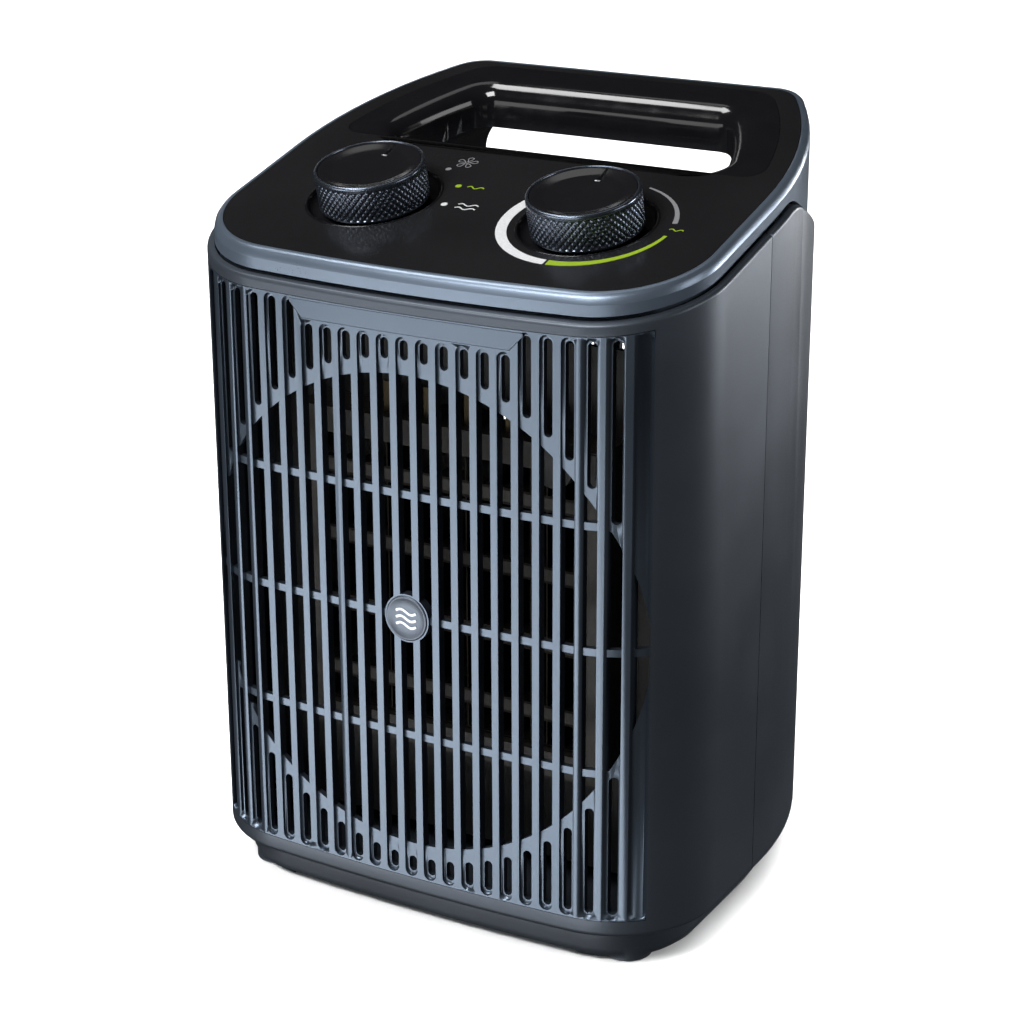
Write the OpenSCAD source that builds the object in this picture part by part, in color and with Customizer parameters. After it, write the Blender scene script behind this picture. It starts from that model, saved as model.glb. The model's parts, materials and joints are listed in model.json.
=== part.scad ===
// Ceramic space heater: upright fan heater with a barred front grille, a
// sloping control deck with two knobs, and a carry handle at the top rear.
// Millimetres. Z is up from the ground, the front faces -Y.

/* [Body] */
// Width of the body
body_w = 194; // [160:1:235]
// Depth of the body at mid height, front to rear face
body_d = 160; // [130:1:195]
// Height of the body's top edge at the front
front_h = 227.6; // [185:0.1:275]
// Height of the body's lower edge above the ground
skirt_z = 14; // [10:0.5:22]
// Moulded wall thickness
wall = 2.6; // [2:0.1:3.2]
// Radius of the large bow in the front face
bow_r = 893; // [500:1:1500]
// Radius of the two vertical front corners
corner_r = 39; // [30:1:45]
// Radius of the long curve that draws the sides in behind the seam
side_r = 140; // [120:1:200]
// Distance from the front at which that curve starts
side_start = 79; // [70:1:90]
// Radius of the two vertical rear corners
rear_r = 22; // [14:1:30]
// Distance of the case seam from the front
seam_y = 72.4; // [62:0.1:78]
// Width of the seam between the two case halves
seam_gap = 0.35; // [0.2:0.05:0.6]

/* [Top] */
// Slope of the control deck
top_tilt = 14.1; // [8:0.1:18]
// Slope of the case down behind the deck, under the handle
back_slope = 22.3; // [16:0.1:28]
// Distance of the crest between the two slopes from the front
crest_y = 95.2; // [86:0.1:104]
// Radius of the crest
crest_r = 20; // [10:1:30]
// Height of the top cover above the body edge, square to the deck
cover_h = 7.8; // [7:0.1:10]
// Shadow gap between the body edge and the top cover
cover_gap = 1.2; // [0.8:0.1:2]
// Inset of the top cover from the body outline
cover_in = 2.7; // [1.5:0.1:4]
// Distance by which the handle stands behind the body
handle_over = 2; // [0:0.5:6]
// Width of the rim around the control panel
rim_w = 3.1; // [2.4:0.1:4]
// Thickness of the control panel
panel_t = 2.2; // [1.8:0.1:3]
// Thickness of the deck under the panel
deck_t = 2.4; // [2:0.1:3]

/* [Handle] */
// Inset of the glossy liner's outer edge from the body outline
liner_in = 13.2; // [11:0.1:16]
// Width of the liner's top strip along the arms
liner_w = 16; // [12:0.5:20]
// Front-to-rear width of the grip bar
bar_w = 23; // [18:0.5:28]
// Height of the grip bar
bar_h = 14.8; // [14:0.5:24]
// Liner wall thickness
liner_t = 2.2; // [1.6:0.1:3]
// Distance of the hand space under the bar from the body side
hand_in = 34.5; // [30:0.5:50]

/* [Grille] */
// Number of vertical slots
slot_count = 23; // [19:2:27]
// Distance from the body side to the first slot's outer edge
grille_margin = 12; // [11:0.5:16]
// Share of the pitch that is open slot
slot_share = 0.66; // [0.5:0.01:0.75]
// Depth to which the wide slots are recessed before the back plate
bar_proud = 1.35; // [1:0.05:1.8]
// Full thickness of the grille
grille_t = 3.6; // [3:0.1:5]
// Width of the narrow slots in the corners of the back plate
narrow_w = 3.1; // [1.6:0.1:3.8]
// Radius of the round air outlet
vent_r = 84.8; // [60:0.1:90]
// Distance of the outlet's centre below the middle of the slots
vent_drop = 4.1; // [-5:0.1:10]
// Distance of the upper and lower cross bars from the centre one
cross_dz = 43.5; // [30:0.5:50]
// Height of a cross bar
cross_h = 2.6; // [2:0.1:4]
// Radius of the round badge
badge_r = 8; // [6:0.5:10]
// Height by which the badge stands proud
badge_proud = 0.4; // [0.2:0.1:1]

/* [Knobs] */
// Radius of a knob
knob_r = 19.2; // [15:0.1:23.5]
// Height of a knob above the panel
knob_h = 11.8; // [10:0.1:14]
// Distance of each knob from the centre line
knob_x = 41.2; // [32:0.1:46]
// Distance of the knobs up the deck from its front edge
knob_s = 51; // [44:0.5:56]
// Distance from a knob to the edge of the dish around it
dish_gap = 4.8; // [4:0.1:6]
// Radius of the knob shafts
shaft_r = 3; // [2.5:0.1:3.6]
// Radial running clearance of the turning shafts
run_gap = 0.05; // [0.02:0.01:0.09]

/* [Inside] */
// Radius of the fan over its blades
fan_r = 60; // [48:0.5:72]
// Radius of the fan's hub
hub_r = 19; // [14:0.5:22]
// Number of fan blades
blade_count = 7; // [5:1:9]
// Radius of the motor
motor_r = 24; // [18:0.5:28]
// Half width of the square heater frame
frame_half = 60; // [48:0.5:72]
// Distance of the heater frame from the front
frame_y = 26; // [22:0.5:28]

/* [Base] */
// Inset of the plinth from the body outline
plinth_in = 7.4; // [5:0.1:10]
// Height by which the corner feet drop below the plinth
foot_drop = 1.2; // [0.8:0.1:2]
// Radius of a rubber foot
foot_r = 6.5; // [5:0.5:8]

/* [Display] */
// Piece to show

/* [Hidden] */
$fn = 64;
fit = 0.2;
hw = body_w / 2;
// centres of the arcs that make up the plan outline
c1 = [hw - corner_r, bow_r - sqrt(pow(bow_r - corner_r, 2) - pow(hw - corner_r, 2))];
bow_a = asin((hw - corner_r) / (bow_r - corner_r));
c2 = [hw - side_r, side_start];
// the deck's top plane passes through this height at the front
top_z0 = front_h + cover_h / cos(top_tilt);
deck_h = panel_t + deck_t;
// grille layout
grille_half = hw - grille_margin;
slot_pitch = 2 * grille_half / (slot_count - 1 + slot_share);
slot_w = slot_pitch * slot_share;
slot_mid = (slot_count - 1) / 2;
slot_z0 = skirt_z + 7;
slot_z1 = front_h - 4.4;
vent_z = (slot_z0 + slot_z1) / 2 - vent_drop;
plate_half = slot_pitch * 5.5;
window_z0 = slot_z0 - 0.7;
window_z1 = slot_z1 + 0.6;
outlet_r = min(vent_r, grille_half - 0.2, vent_z - slot_z0 - 10, slot_z1 - vent_z - 16);
// handle hole: bar front face and bar underside, square to the deck
handle_y = body_d + handle_over;
bar_y = handle_y - bar_w;
hand_half = hw - hand_in;
hole_round = min(9, (bar_y - crest_y) / 2 - 1.5);
hole_in = liner_in + liner_w;
// crest circle centre in the side view
crest_z = front_h + tan(top_tilt) * crest_y;
crest_half = (top_tilt + back_slope) / 2;
crest_bis = 90 + (top_tilt - back_slope) / 2;
crest_c = [crest_y - crest_r / cos(crest_half) * cos(crest_bis),
  crest_z - crest_r / cos(crest_half) * sin(crest_bis)];
// hand space under the grip bar
hand_top = top_z0 + tan(top_tilt) * bar_y - bar_h / cos(top_tilt);
// fan line
duct_r = fan_r + 2.5;
duct_y = frame_y + 18;
fan_y = duct_y + 6;
motor_y = fan_y + 28;
// turning parts of the controls
dish_r = knob_r + dish_gap;
neck_r = shaft_r + 1.6;
knob_in = knob_r - 1.25;
inlet_x = -hw * 0.42;
inlet_z = skirt_z + 16;
// rows of slots in the rear face
rear_z0 = inlet_z + 22.75;
rear_z1 = front_h - 44.35;
rear_dz = (rear_z1 - rear_z0) / 3;
foot_x = hw - plinth_in - 17;
foot_y = [24, body_d - 46];

// points on an arc
function dir(a) = [cos(a), sin(a)];
function arc_pts(c, r, a0, a1, n) = [for (k = [0:n]) c + r * dir(a0 + (a1 - a0) * k / n)];
// centre of a rear corner of radius r when the rear face is at depth d
function c3(d, r) = [c2[0] + sqrt(pow(side_r - r, 2) - pow(d - r - side_start, 2)), d - r];
function c3_a(d, r) = asin((d - r - side_start) / (side_r - r));
// case screws, whose wells open in the rear corners
screw_x = c3(body_d, rear_r)[0] + 7;
screw_z = [skirt_z + 22, front_h - 30];
// right half of the plan outline, inset by i all round
function half_pts(i, d, r) = concat(
  arc_pts([0, bow_r], bow_r - i, -90, -90 + bow_a, 7),
  arc_pts(c1, corner_r - i, -90 + bow_a, 0, 20),
  arc_pts(c2, side_r - i, 0, c3_a(d, r), 10),
  arc_pts(c3(d, r), r - i, c3_a(d, r), 90, 12));
function mirrored(p) = [for (k = [len(p) - 1:-1:1]) [-p[k][0], p[k][1]]];
// distance of the front face behind its foremost point
function front_y(x) = abs(x) < bow_r * sin(bow_a) ? bow_r - sqrt(bow_r * bow_r - x * x)
  : c1[1] - sqrt(pow(corner_r, 2) - pow(abs(x) - c1[0], 2));
function slot_x(k) = (k - slot_mid) * slot_pitch;
// height of the front's top edge above its middle, at a distance x from the centre line
function rise(x) = tan(top_tilt) * front_y(x);
function slot_top(k) = (abs(k - slot_mid) < 5.5 ? slot_z1 - 7.2 : slot_z1) + rise(slot_x(k));
// half height of the outlet circle at a distance x from its centre
function vent_half(x) = abs(x) < outlet_r ? sqrt(outlet_r * outlet_r - x * x) : 0;

module plan(i, d = body_d, r = rear_r) {
  p = half_pts(i, d, r);
  polygon(concat(p, mirrored(p)));
}
module prism(i, z0, z1, d = body_d, r = rear_r) {
  translate([0, 0, z0])
    linear_extrude(height = z1 - z0)
      plan(i, d, r);
}
// outline of the cover, whose rear face stands behind the body's
module cover_prism(i, z0 = skirt_z, z1 = 400) {
  prism(i, z0, z1, handle_y + cover_in, rear_r - 3);
}
// shape drawn in X and Z, cut from y0 to y1
module cut_y(y0, y1) {
  translate([0, y1, 0])
    rotate([90, 0, 0])
      linear_extrude(height = y1 - y0)
        children();
}
// everything under the case's top profile, moved up by g
module under(g, z0 = 0) {
  a = arc_pts(crest_c, crest_r + g, 90 + top_tilt, 90 - back_slope, 10);
  s = a[0] + 160 * dir(180 + top_tilt);
  e = a[10] + 140 * dir(-back_slope);
  rotate([90, 0, 90])
    translate([0, 0, -200])
      linear_extrude(height = 400)
        polygon(concat([[e[0], z0], [s[0], z0], s], a, [e]));
}
// deck coordinates: X across, Y up the slope, Z square to the deck
module at_deck() {
  translate([0, 0, top_z0])
    rotate([top_tilt, 0, 0])
      children();
}
module slab(h0, h1) {
  at_deck()
    translate([-200, -60, h0])
      cube([400, 320, h1 - h0]);
}
module ybox(y0, y1, z0 = 0, z1 = 400, x = 200) {
  translate([-x, y0, z0])
    cube([2 * x, y1 - y0, z1 - z0]);
}
module centred() {
  translate([0, -(handle_y - badge_proud) / 2, 0])
    children();
}
module knob_at(side) {
  at_deck()
    translate([side * knob_x, knob_s, 0])
      children();
}
module tube(r0, r1, h0, h1) {
  translate([0, 0, h0])
    difference() {
      cylinder(r = r1, h = h1 - h0);
      translate([0, 0, -1])
        cylinder(r = r0, h = h1 - h0 + 2);
    }
}
// cylinder along Y
module ycyl(r, x, z, y0, y1) {
  translate([x, y1, z])
    rotate([90, 0, 0])
      cylinder(r = r, h = y1 - y0);
}
module slot_2d(x, z0, z1, w) {
  translate([x - w / 2, z0 + w / 2])
    square([w, z1 - z0 - w]);
  translate([x, z0 + w / 2])
    circle(d = w);
  translate([x, z1 - w / 2])
    circle(d = w);
}
// slot of half width r in the rear face, as one outline
module inlet_2d(x, z0, z1, r) {
  polygon(concat(arc_pts([x, z1 - r], r, 0, 180, 8), arc_pts([x, z0 + r], r, 180, 360, 8)));
}
// opening in the case for the grille, grown by g
module window_2d(g) {
  gh = grille_half + g;
  polygon([for (k = [-12:12]) [k * gh / 12, window_z1 + g + rise(k * gh / 12)],
    [gh, window_z0 - g], [-gh, window_z0 - g]]);
}
// outline of the top and of the hand hole in plan, grown by g
module liner_2d(g) {
  offset(r = 7)
    offset(delta = g - 7)
      intersection() {
        plan(liner_in, handle_y - 6.3 + liner_in, rear_r + 6);
        translate([-150, crest_y - 3])
          square([300, 100]);
      }
}
module hole_2d(g) {
  offset(r = hole_round)
    offset(delta = g - hole_round)
      intersection() {
        plan(hole_in, bar_y + hole_in, hole_in + 6);
        translate([-150, crest_y - 0.8])
          square([300, 100]);
      }
}
// the hand space: the hole in the deck and the tunnel below the bar, grown by g
module hand_space(g) {
  translate([0, 0, skirt_z])
    linear_extrude(height = 400)
      hole_2d(g);
  cut_y(bar_y - 14, handle_y + 20)
    offset(r = 14)
      offset(delta = g - 14)
        translate([-hand_half, front_h - 60])
          square([2 * hand_half, hand_top - front_h + 60]);
}

// ---- case ----
module front_shell() {
  color([0.35, 0.39, 0.45])
    centred()
      difference() {
        union() {
          intersection() {
            difference() {
              prism(0, skirt_z, 300);
              prism(wall, skirt_z - 1, 301);
            }
            under(0);
            ybox(-5, seam_y);
          }
          for (s = [-1, 1], z = screw_z) {
            ycyl(5, s * screw_x, z, seam_y - 20, seam_y - 0.2);
            translate([s < 0 ? 1.5 - hw : screw_x, seam_y - 20, z - 1.5])
              cube([hw - 1.5 - screw_x, 19.8, 3]);
          }
        }
        cut_y(-5, c1[1])
          window_2d(0);
        for (s = [-1, 1], z = screw_z)
          ycyl(1.8, s * screw_x, z, seam_y - 17, seam_y + 1);
      }
}
module front_grille() {
  color([0.37, 0.41, 0.47])
    centred()
      difference() {
        union() {
          // face inside the window
          intersection() {
            difference() {
              prism(0, skirt_z, 300);
              prism(grille_t, skirt_z - 1, 301);
            }
            cut_y(-5, c1[1])
              window_2d(-fit);
          }
          // flange behind the window edge
          intersection() {
            difference() {
              prism(wall + 0.1, skirt_z, 300);
              prism(grille_t, skirt_z - 1, 301);
            }
            cut_y(-5, c1[1])
              window_2d(2.4);
          }
        }
        // wide slots down to the back plate
        difference() {
          cut_y(-5, c1[1])
            for (k = [0:slot_count - 1])
              slot_2d(slot_x(k), slot_z0, slot_top(k), slot_w);
          prism(bar_proud, 0, 301);
          ycyl(badge_r + 0.6, 0, vent_z, -2, 10);
        }
        // round outlet: the same slots cut right through, leaving the cross bars
        cut_y(-5, c1[1] + 5)
          difference() {
            intersection() {
              for (k = [0:slot_count - 1])
                slot_2d(slot_x(k), slot_z0, slot_top(k), slot_w);
              translate([0, vent_z])
                circle(r = outlet_r, $fn = 128);
            }
            for (d = [-1:1])
              translate([-hw, vent_z + d * cross_dz - cross_h / 2])
                square([2 * hw, cross_h]);
            translate([0, vent_z])
              circle(r = badge_r + 0.6);
          }
        // narrow slots above and below the outlet
        cut_y(-5, c1[1] + 5)
          for (k = [1:slot_count - 2]) {
            v = vent_half(slot_x(k)) + 5;
            slot_2d(slot_x(k), vent_z + v, slot_top(k) - 1.4, narrow_w);
            slot_2d(slot_x(k), slot_z0 + 1.4, vent_z - v, narrow_w);
          }
        // seats for the badge and the name plate
        ycyl(badge_r + 0.1, 0, vent_z, -2, 1);
        difference() {
          cut_y(-5, 20)
            plate_2d(0.15);
          prism(1.1, 0, 301);
        }
      }
}
module plate_2d(g) {
  polygon([[-plate_half + 1.8 - g, slot_z1 - 6.2 - g], [plate_half - 1.8 + g, slot_z1 - 6.2 - g],
    [plate_half + 3 + g, slot_z1 - 1.2], [plate_half + 3 + g, slot_z1 - 0.2 + g],
    [-plate_half - 3 - g, slot_z1 - 0.2 + g], [-plate_half - 3 - g, slot_z1 - 1.2]]);
}
module name_plate() {
  color([0.4, 0.44, 0.5])
    centred()
      intersection() {
        difference() {
          prism(0, skirt_z, 300);
          prism(1, skirt_z - 1, 301);
        }
        cut_y(-5, 20)
          plate_2d(0);
      }
}
module grille_badge() {
  color([0.55, 0.59, 0.65])
    centred()
      ycyl(badge_r, 0, vent_z, -badge_proud, 0.95);
}
module rear_shell() {
  color([0.33, 0.37, 0.42])
    centred()
      difference() {
        union() {
          difference() {
            intersection() {
              prism(0, skirt_z, 300);
              under(0);
              ybox(seam_y + seam_gap, 200);
            }
            intersection() {
              prism(wall, skirt_z - 1, 301);
              union() {
                under(-wall);
                ybox(0, crest_y - 9);
              }
            }
          }
          intersection() {
            for (s = [-1, 1], z = screw_z) {
              ycyl(5, s * screw_x, z, seam_y + 0.6, body_d);
              translate([s < 0 ? -hw : screw_x, seam_y + 0.6, z - 1.5])
                cube([hw - screw_x, 50, 3]);
            }
            prism(1, skirt_z, 300);
          }
        }
        // air inlet in the rear face
        cut_y(body_d - wall - 6, body_d + 2)
          for (k = [-7:7], j = [0:2])
            inlet_2d(k * slot_pitch, rear_z0 + j * rear_dz + 3, rear_z0 + (j + 1) * rear_dz - 3, slot_w * 0.4);
        // screws: shank hole, then the head's well
        for (s = [-1, 1], z = screw_z) {
          ycyl(2, s * screw_x, z, seam_y, seam_y + 20);
          ycyl(3.6, s * screw_x, z, seam_y + 5, body_d + 5);
        }
        // hole for the cord gland
        ycyl(8.2, inlet_x, inlet_z, body_d - 20, body_d + 5);
      }
}
module case_screws() {
  color([0.6, 0.6, 0.62])
    centred()
      for (s = [-1, 1], z = screw_z) {
        ycyl(1.75, s * screw_x, z, seam_y - 15, seam_y + 5.5);
        difference() {
          ycyl(3.3, s * screw_x, z, seam_y + 5.1, seam_y + 7.6);
          translate([s * screw_x, seam_y + 7.6, z])
            cube([0.9, 2.4, 4], center = true);
          translate([s * screw_x, seam_y + 7.6, z])
            cube([4, 2.4, 0.9], center = true);
        }
      }
}
module base_plinth() {
  color([0.36, 0.4, 0.46])
    centred()
      difference() {
        union() {
          // tray with a bevelled lower edge
          difference() {
            hull() {
              prism(plinth_in + 3.4, foot_drop + 0.4, foot_drop + 1);
              prism(plinth_in + 1, foot_drop + 2, foot_drop + 2.4);
              prism(plinth_in, foot_drop + 4.4, skirt_z);
            }
            prism(plinth_in + wall + 1, foot_drop + 4.5, skirt_z + 1);
          }
          // flange that closes the case's lower edge
          difference() {
            prism(wall + fit, skirt_z - 0.6, skirt_z + 2.4);
            prism(plinth_in + wall + 1, skirt_z - 2, skirt_z + 3);
          }
          // corner feet
          intersection() {
            hull() {
              prism(plinth_in + 4.2, 0.5, 1);
              prism(plinth_in + 1, foot_drop + 2, foot_drop + 2.4);
            }
            for (x = [-1, 1], y = [0, 1])
              translate([x * (hw - 22) - 16, y * (body_d - 46) - 6, 0])
                cube([32, 48, foot_drop + 2.4]);
          }
          for (s = [-1, 1], y = foot_y)
            translate([s * foot_x, y, 0.5])
              cylinder(r = foot_r + 2, h = foot_drop + 4.2);
        }
        for (s = [-1, 1], y = foot_y)
          translate([s * foot_x, y, -1])
            cylinder(r = foot_r + 0.1, h = 3.1);
      }
}
module rubber_feet() {
  color([0.06, 0.06, 0.06])
    centred()
      for (s = [-1, 1], y = foot_y)
        translate([s * foot_x, y, 0]) {
          cylinder(r1 = foot_r - 0.6, r2 = foot_r, h = 0.6);
          translate([0, 0, 0.6])
            cylinder(r = foot_r, h = 1.45);
        }
}

// ---- top ----
module cover_solid() {
  difference() {
    hull() {
      intersection() {
        cover_prism(cover_in);
        slab(-70, -3);
      }
      intersection() {
        cover_prism(cover_in + 0.5);
        slab(-20, -1.2);
      }
      intersection() {
        cover_prism(cover_in + 1.3);
        slab(-20, -0.35);
      }
      intersection() {
        cover_prism(cover_in + 2.2);
        slab(-20, 0);
      }
    }
    under(cover_gap, -100);
  }
}
module top_cover() {
  color([0.38, 0.42, 0.49])
    centred()
      difference() {
        union() {
          cover_solid();
          // skirt that plugs into the case
          intersection() {
            difference() {
              prism(wall + 1.6, skirt_z, 400);
              prism(wall + 3.6, skirt_z, 401);
            }
            slab(-cover_h - 5, -deck_h + 0.5);
            ybox(0, crest_y - 12);
          }
        }
        // seat for the panel and the liner
        intersection() {
          cover_prism(cover_in + rim_w);
          slab(-panel_t, 5);
        }
        // hollow under the deck
        difference() {
          intersection() {
            cover_prism(cover_in + wall);
            slab(-80, -deck_h);
          }
          intersection() {
            difference() {
              prism(wall + 1.6, skirt_z, 400);
              prism(wall + 3.6, skirt_z, 401);
            }
            slab(-cover_h - 5, -deck_h + 0.5);
            ybox(0, crest_y - 12);
          }
        }
        hand_space(liner_t + fit);
        for (s = [-1, 1])
          knob_at(s)
            translate([0, 0, -30])
              cylinder(r = dish_r - 1.4, h = 40);
      }
}
module handle_liner() {
  color([0.03, 0.03, 0.03])
    centred()
      difference() {
        union() {
          // strip let into the deck
          intersection() {
            translate([0, 0, skirt_z])
              linear_extrude(height = 400)
                liner_2d(0);
            slab(-panel_t, 0);
          }
          // walls of the hand space
          intersection() {
            hand_space(liner_t);
            slab(-90, -0.3);
            ybox(0, handle_y - 0.4);
          }
        }
        hand_space(0);
        under(cover_gap, -100);
      }
}
module control_panel() {
  color([0.05, 0.05, 0.055])
    centred()
      difference() {
        intersection() {
          cover_prism(cover_in + rim_w + fit);
          slab(-panel_t, 0);
        }
        translate([0, 0, skirt_z])
          linear_extrude(height = 400)
            liner_2d(0.15);
        for (s = [-1, 1])
          knob_at(s)
            translate([0, 0, -30])
              cylinder(r = dish_r + 0.1, h = 40);
      }
}

// ---- knobs and switches ----
module dish(side) {
  knob_at(side)
    rotate_extrude()
      polygon([[neck_r + 0.2, -5.4], [dish_r - 1.6, -5.4], [dish_r - 1.6, -panel_t],
        [dish_r, -panel_t], [dish_r, 0], [dish_r - 0.8, 0], [dish_r - 3.6, -2.9],
        [dish_r - 4.6, -3.4], [neck_r + 0.2, -3.4]]);
}
module selector_dish() {
  color([0.04, 0.04, 0.04])
    centred()
      dish(-1);
}
module thermostat_dish() {
  color([0.04, 0.04, 0.04])
    centred()
      dish(1);
}
module knob(side) {
  knob_at(side)
    difference() {
      rotate_extrude()
        polygon([[shaft_r + 0.02, -0.9], [shaft_r + 2.6, -0.9], [shaft_r + 2.6, 7.4], [knob_r - 2.4, 7.4],
          [knob_r - 2.2, -1.5], [knob_r - 0.5, -1.5], [knob_r, -1], [knob_r, knob_h - 1.1],
          [knob_r - 0.5, knob_h - 0.2], [knob_r - 0.8, knob_h], [knob_in, knob_h - 0.1],
          [knob_in, knob_h - 2.45], [shaft_r + 0.02, knob_h - 2.45]]);
      translate([-0.5, knob_r - 5, knob_h - 0.7])
        cube([1, 6, 3]);
    }
}
module knob_cap(side) {
  knob_at(side)
    difference() {
      rotate_extrude()
        polygon([[0, knob_h - 2.4], [knob_in - 0.1, knob_h - 2.4], [knob_in - 0.1, knob_h - 0.4],
          [knob_in - 0.4, knob_h - 0.25], [knob_r - 5.7, knob_h - 1.3], [0, knob_h - 1.3]]);
      translate([-0.5, knob_r - 9.6, knob_h - 1.75])
        cube([1, 12, 3]);
    }
}
module selector_knob() {
  color([0.38, 0.42, 0.5])
    centred()
      knob(-1);
}
module selector_knob_cap() {
  color([0.05, 0.05, 0.055])
    centred()
      knob_cap(-1);
}
module thermostat_knob() {
  color([0.38, 0.42, 0.5])
    centred()
      knob(1);
}
module thermostat_knob_cap() {
  color([0.05, 0.05, 0.055])
    centred()
      knob_cap(1);
}
module shaft(side) {
  knob_at(side)
    translate([0, 0, -15])
      cylinder(r = shaft_r, h = knob_h + 15 - 2.5);
}
module selector_shaft() {
  color([0.75, 0.75, 0.78])
    centred()
      shaft(-1);
}
module thermostat_shaft() {
  color([0.75, 0.75, 0.78])
    centred()
      shaft(1);
}
// neck through the dish floor, with the shaft's bore
module neck() {
  translate([0, 0, -6])
    cylinder(r = neck_r, h = 4.4);
}
module shaft_bore() {
  translate([0, 0, -15.4])
    cylinder(r = shaft_r + run_gap, h = 20);
}
module selector_switch() {
  color([0.12, 0.12, 0.13])
    centred()
      knob_at(-1)
        difference() {
          union() {
            neck();
            translate([-15, -13, -21.6])
              cube([30, 26, 16]);
            for (x = [-10, -3.5, 3.5, 10])
              translate([x - 2.4, -1.5, -27.6])
                cube([4.8, 0.8, 6.5]);
          }
          shaft_bore();
        }
}
module thermostat_switch() {
  color([0.8, 0.78, 0.7])
    centred()
      knob_at(1)
        difference() {
          union() {
            neck();
            translate([-9, -17, -8.6])
              cube([18, 34, 3]);
            translate([-6, -13, -18.6])
              cube([12, 26, 11]);
            translate([-5, -16.6, -24])
              cube([10, 0.8, 16]);
            translate([-5, 15.8, -24])
              cube([10, 0.8, 16]);
          }
          shaft_bore();
        }
}
module shaft_nuts() {
  color([0.7, 0.7, 0.72])
    centred()
      for (s = [-1, 1])
        knob_at(s)
          translate([0, 0, -3.4])
            difference() {
              cylinder(r = neck_r + 2.8, h = 1.7, $fn = 6);
              translate([0, 0, -1])
                cylinder(r = neck_r + 0.1, h = 4, $fn = 48);
            }
}

// ---- inside ----
module air_duct() {
  color([0.07, 0.07, 0.08])
    centred()
      difference() {
        union() {
          translate([-hw + wall + 0.5, duct_y, skirt_z + 2.6])
            cube([2 * (hw - wall - 0.5), 2.6, front_h - 22 - skirt_z]);
          ycyl(duct_r + 2.4, 0, vent_z, duct_y, motor_y + 4);
        }
        ycyl(duct_r, 0, vent_z, duct_y - 1, motor_y + 5);
      }
}
module heater_frame() {
  color([0.62, 0.55, 0.45])
    centred()
      cut_y(frame_y, frame_y + 17.8)
        difference() {
          translate([-frame_half, vent_z - frame_half])
            square(2 * frame_half);
          translate([-frame_half + 9, vent_z - frame_half + 9])
            square(2 * frame_half - 18);
        }
}
// four ceramic strips across the frame, with fins between them
function strip_z(k) = vent_z + (k - 1.5) * (2 * frame_half - 18) / 4;
module heater_ceramics() {
  color([0.86, 0.84, 0.8])
    centred()
      cut_y(frame_y + 3, frame_y + 15)
        for (k = [0:3])
          translate([-frame_half + 9.2, strip_z(k) - 2])
            square([2 * frame_half - 18.4, 4]);
}
module heater_fins() {
  fin_n = 16;
  half = frame_half - 9.4;
  color([0.7, 0.71, 0.73])
    centred()
      cut_y(frame_y + 3, frame_y + 15)
        for (k = [0:4]) {
          z0 = k == 0 ? vent_z - half : strip_z(k - 1) + 2.1;
          z1 = k == 4 ? vent_z + half : strip_z(k) - 2.1;
          translate([-half, z0])
            square([2 * half, 0.8]);
          translate([-half, z1 - 0.8])
            square([2 * half, 0.8]);
          for (j = [0:fin_n])
            translate([-half + j * (2 * half - 0.5) / fin_n, z0])
              square([0.5, z1 - z0]);
        }
}
module heater_terminals() {
  color([0.8, 0.65, 0.3])
    centred()
      for (x = [-24, -8, 8, 24])
        translate([x - 3.2, frame_y + 5, vent_z + frame_half + 0.1])
          cube([6.4, 0.8, 11]);
}
module thermal_cutout() {
  color([0.75, 0.75, 0.76])
    centred() {
      ycyl(7, frame_half - 14, vent_z + frame_half - 4.6, frame_y - 8, frame_y - 0.1);
      translate([frame_half - 26, frame_y - 0.9, vent_z + frame_half - 8.6])
        cube([24, 0.8, 8]);
    }
}
module motor_bracket() {
  color([0.08, 0.08, 0.09])
    centred()
      difference() {
        union() {
          ycyl(motor_r + 3.2, 0, vent_z, motor_y - 2.6, motor_y + 3.4);
          for (a = [90, 210, 330])
            translate([0, motor_y - 2.6, vent_z])
              rotate([0, -a, 0])
                translate([motor_r + 1, 0, -3])
                  cube([duct_r - motor_r - 1.05, 6, 6]);
        }
        ycyl(motor_r + 0.1, 0, vent_z, motor_y - 0.2, motor_y + 6);
        ycyl(10, 0, vent_z, motor_y - 4, motor_y + 6);
      }
}
module fan_motor() {
  color([0.55, 0.56, 0.58])
    centred()
      difference() {
        union() {
          ycyl(motor_r, 0, vent_z, motor_y, motor_y + 26);
          ycyl(7, 0, vent_z, motor_y - 2.4, motor_y + 30);
        }
        ycyl(2.5 + run_gap, 0, vent_z, motor_y - 3, motor_y + 24);
      }
}
module motor_shaft() {
  color([0.8, 0.8, 0.82])
    centred()
      ycyl(2.5, 0, vent_z, fan_y + 2, motor_y + 23.6);
}
module fan_impeller() {
  color([0.1, 0.1, 0.11])
    centred()
      difference() {
        union() {
          difference() {
            ycyl(hub_r, 0, vent_z, fan_y, fan_y + 20);
            ycyl(hub_r - 2, 0, vent_z, fan_y + 2.4, fan_y + 21);
          }
          ycyl(5.4, 0, vent_z, fan_y + 1, fan_y + 20);
          intersection() {
            for (k = [0:blade_count - 1])
              translate([0, fan_y + 10, vent_z])
                rotate([0, k * 360 / blade_count, 0])
                  translate([hub_r - 1, 0, 0])
                    rotate([38, 0, 0])
                      translate([0, -0.9, -13])
                        cube([fan_r - hub_r + 4, 1.8, 26]);
            difference() {
              ycyl(fan_r, 0, vent_z, fan_y + 0.5, fan_y + 19.5);
              ycyl(hub_r - 1, 0, vent_z, fan_y, fan_y + 21);
            }
          }
        }
        ycyl(2.52, 0, vent_z, fan_y + 1.8, fan_y + 21);
      }
}
module terminal_block() {
  color([0.85, 0.85, 0.82])
    centred()
      difference() {
        translate([inlet_x - 18, body_d - 46, foot_drop + 4.7])
          cube([36, 16, 14]);
        for (k = [-1:1])
          translate([inlet_x + k * 11, body_d - 38, foot_drop + 12])
            cylinder(r = 2, h = 10);
      }
}
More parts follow.
